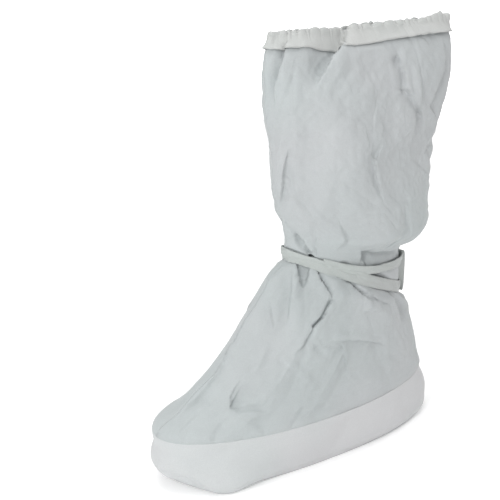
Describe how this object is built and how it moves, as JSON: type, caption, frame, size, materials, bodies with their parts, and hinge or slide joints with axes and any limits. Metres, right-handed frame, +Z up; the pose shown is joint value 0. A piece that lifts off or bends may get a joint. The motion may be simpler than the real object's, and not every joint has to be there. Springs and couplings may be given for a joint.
{
  "type": "boot cover",
  "caption": "Knee-high fabric boot cover with a gathered top hem, an ankle tie and a sole with a turned-up band.",
  "frame": {"origin": "middle of the flat underside of the sole", "axes": "+Z up the leg, -X towards the toe, -Y towards the wearer's left"},
  "size_m": [0.397, 0.1478, 0.4801],
  "materials": {
    "upper": "matte non-woven",
    "hem": "matte non-woven, two layers",
    "sole": "coated non-woven, smooth",
    "tie": "matte non-woven strap"
  },
  "bodies": {
    "root": {"left_panel": "upper", "right_panel": "upper", "top_hem": "hem", "sole_wrap": "sole", "tie_band": "tie", "tie_cross": "tie", "tie_loop": "tie"}
  },
  "joints": []
}
